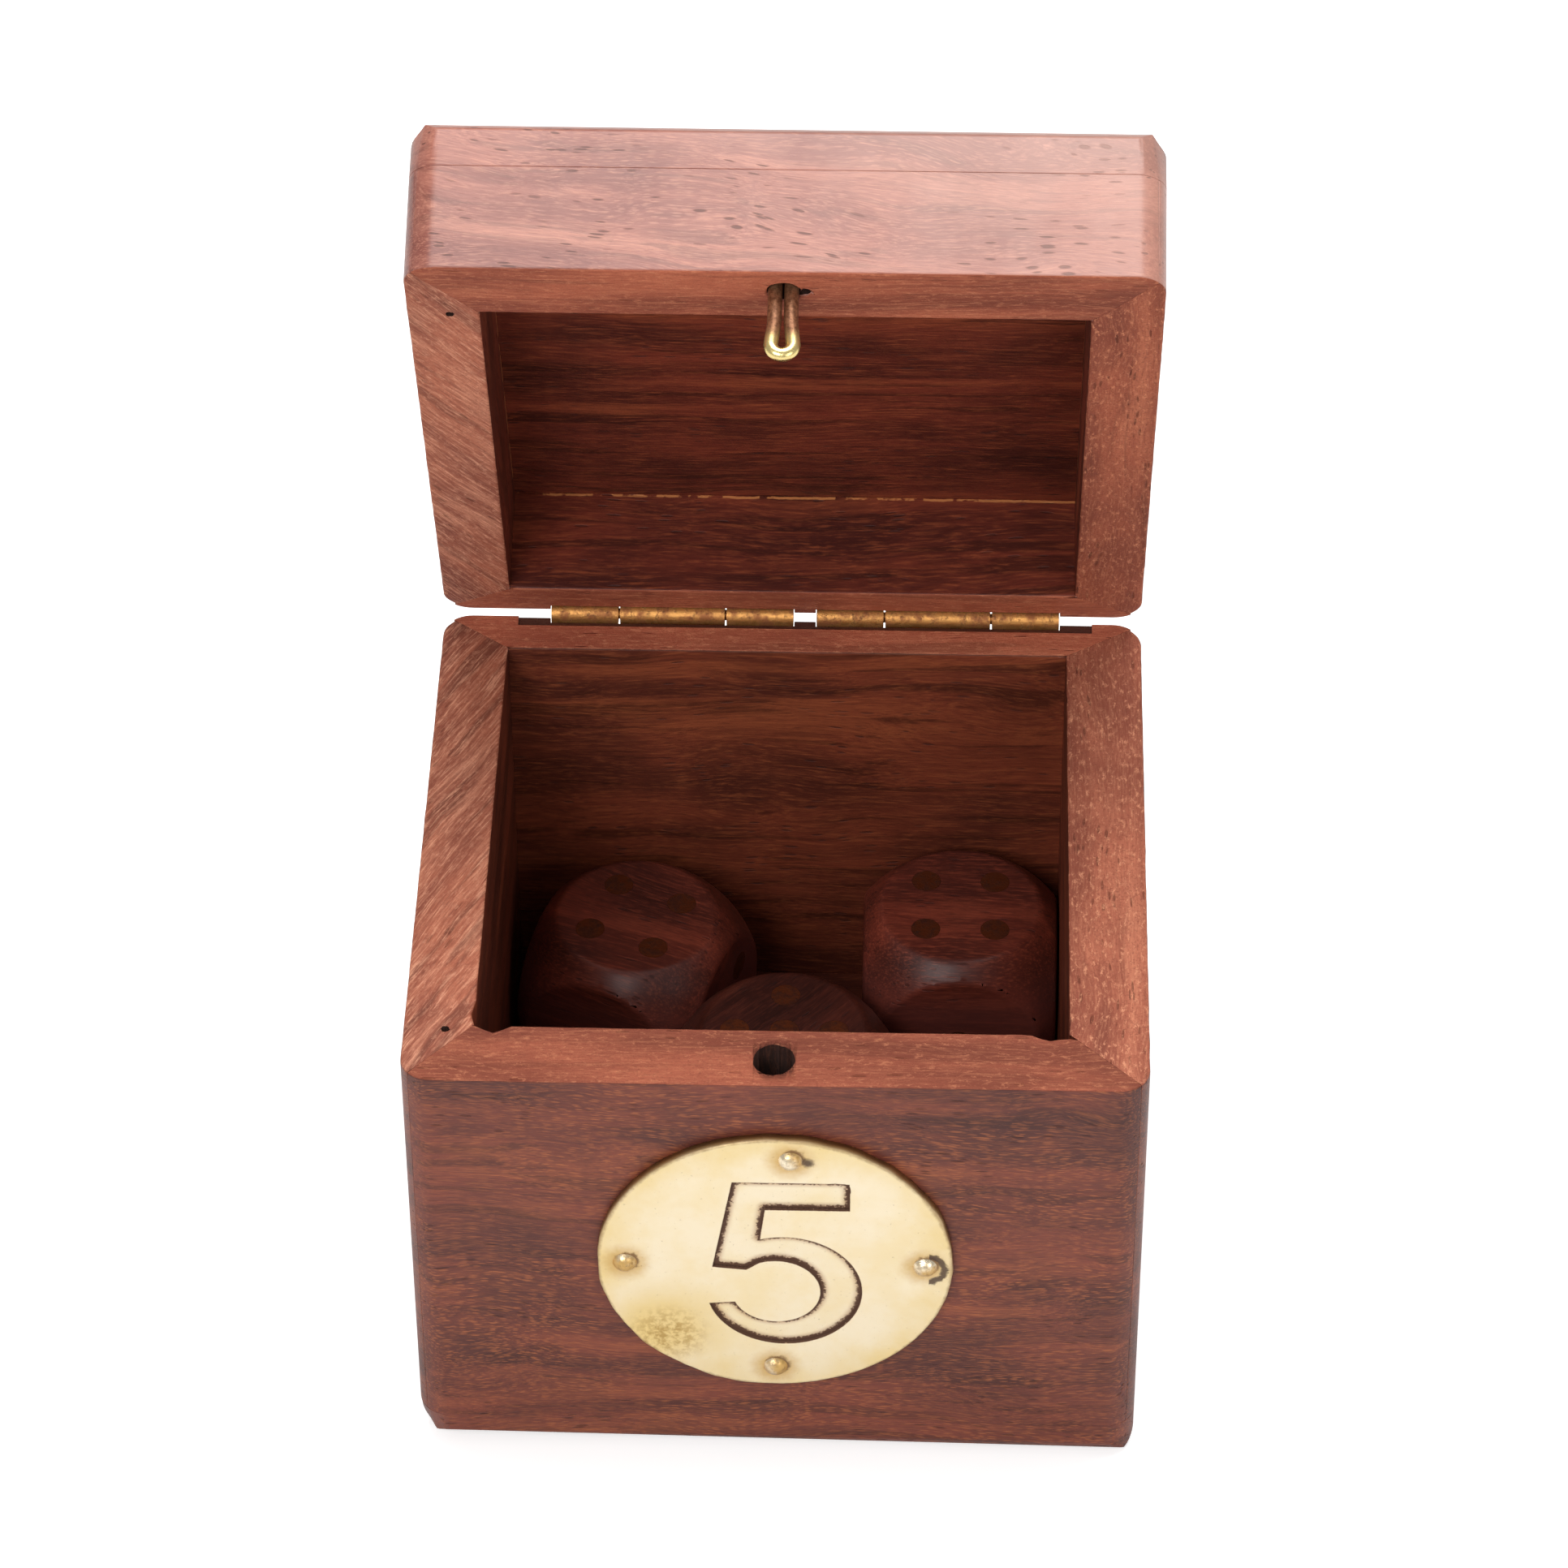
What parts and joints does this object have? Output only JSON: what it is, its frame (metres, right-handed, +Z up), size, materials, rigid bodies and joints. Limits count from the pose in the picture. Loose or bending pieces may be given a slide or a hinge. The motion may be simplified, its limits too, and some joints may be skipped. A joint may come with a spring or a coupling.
{
  "type": "dice box with hinged lid",
  "caption": "Small wooden box with mitred walls and a lid on brass butt hinges, a wire snap catch, a round brass number plate and round-cornered wooden dice inside.",
  "frame": {"origin": "centre of the body's underside, on the surface that the box stands on", "axes": "+X to the right as seen from the front, -Y towards the front with the number plate, +Y towards the hinges, +Z up"},
  "size_m": [0.072, 0.0854, 0.1218],
  "materials": {
    "body_wood": "oiled reddish brown hardwood with fine dark pores",
    "lid_wood": "oiled reddish brown hardwood with fine dark pores",
    "plate_brass": "pale polished brass with slight tarnish and a stamped numeral",
    "hinge_brass": "aged brown brass",
    "wire_brass": "drawn brass wire, worn bright at the bend",
    "dice_wood": "dark reddish brown turned hardwood, waxed",
    "pip_brass": "dull brass inlay, flush"
  },
  "bodies": {
    "box": {"base_panel": "body_wood", "front_wall": "body_wood", "back_wall": "body_wood", "left_wall": "body_wood", "right_wall": "body_wood", "number_plate": "plate_brass", "plate_pins": "plate_brass", "left_hinge_body_leaf": "hinge_brass", "right_hinge_body_leaf": "hinge_brass", "left_hinge_pin": "hinge_brass", "right_hinge_pin": "hinge_brass", "body_hinge_screws": "hinge_brass"},
    "lid": {"lid_top_panel": "lid_wood", "lid_front_wall": "lid_wood", "lid_back_wall": "lid_wood", "lid_left_wall": "lid_wood", "lid_right_wall": "lid_wood", "catch_clip": "wire_brass", "left_hinge_lid_leaf": "hinge_brass", "right_hinge_lid_leaf": "hinge_brass", "lid_hinge_screws": "hinge_brass"},
    "die_1": {"die_1": "dice_wood", "die_1_pips": "pip_brass"},
    "die_2": {"die_2": "dice_wood", "die_2_pips": "pip_brass"},
    "die_3": {"die_3": "dice_wood", "die_3_pips": "pip_brass"},
    "die_4": {"die_4": "dice_wood", "die_4_pips": "pip_brass"},
    "die_5": {"die_5": "dice_wood", "die_5_pips": "pip_brass"}
  },
  "joints": [
    {"name": "lid_hinge", "type": "hinge", "parent": "box", "child": "lid", "pos_m": [0, 0.03425, 0.0526], "axis": [-1, 0, 0], "range_deg": [-69.2, 110.8]},
    {"name": "die_1_lift", "type": "slide", "parent": "box", "child": "die_1", "axis": [0, 0, 1], "range_m": [0, 0.05]},
    {"name": "die_2_lift", "type": "slide", "parent": "box", "child": "die_2", "axis": [0, 0, 1], "range_m": [0, 0.05]},
    {"name": "die_3_lift", "type": "slide", "parent": "box", "child": "die_3", "axis": [0, 0, 1], "range_m": [0, 0.05]},
    {"name": "die_4_lift", "type": "slide", "parent": "box", "child": "die_4", "axis": [0, 0, 1], "range_m": [0, 0.05]},
    {"name": "die_5_lift", "type": "slide", "parent": "box", "child": "die_5", "axis": [0, 0, 1], "range_m": [0, 0.05]}
  ]
}
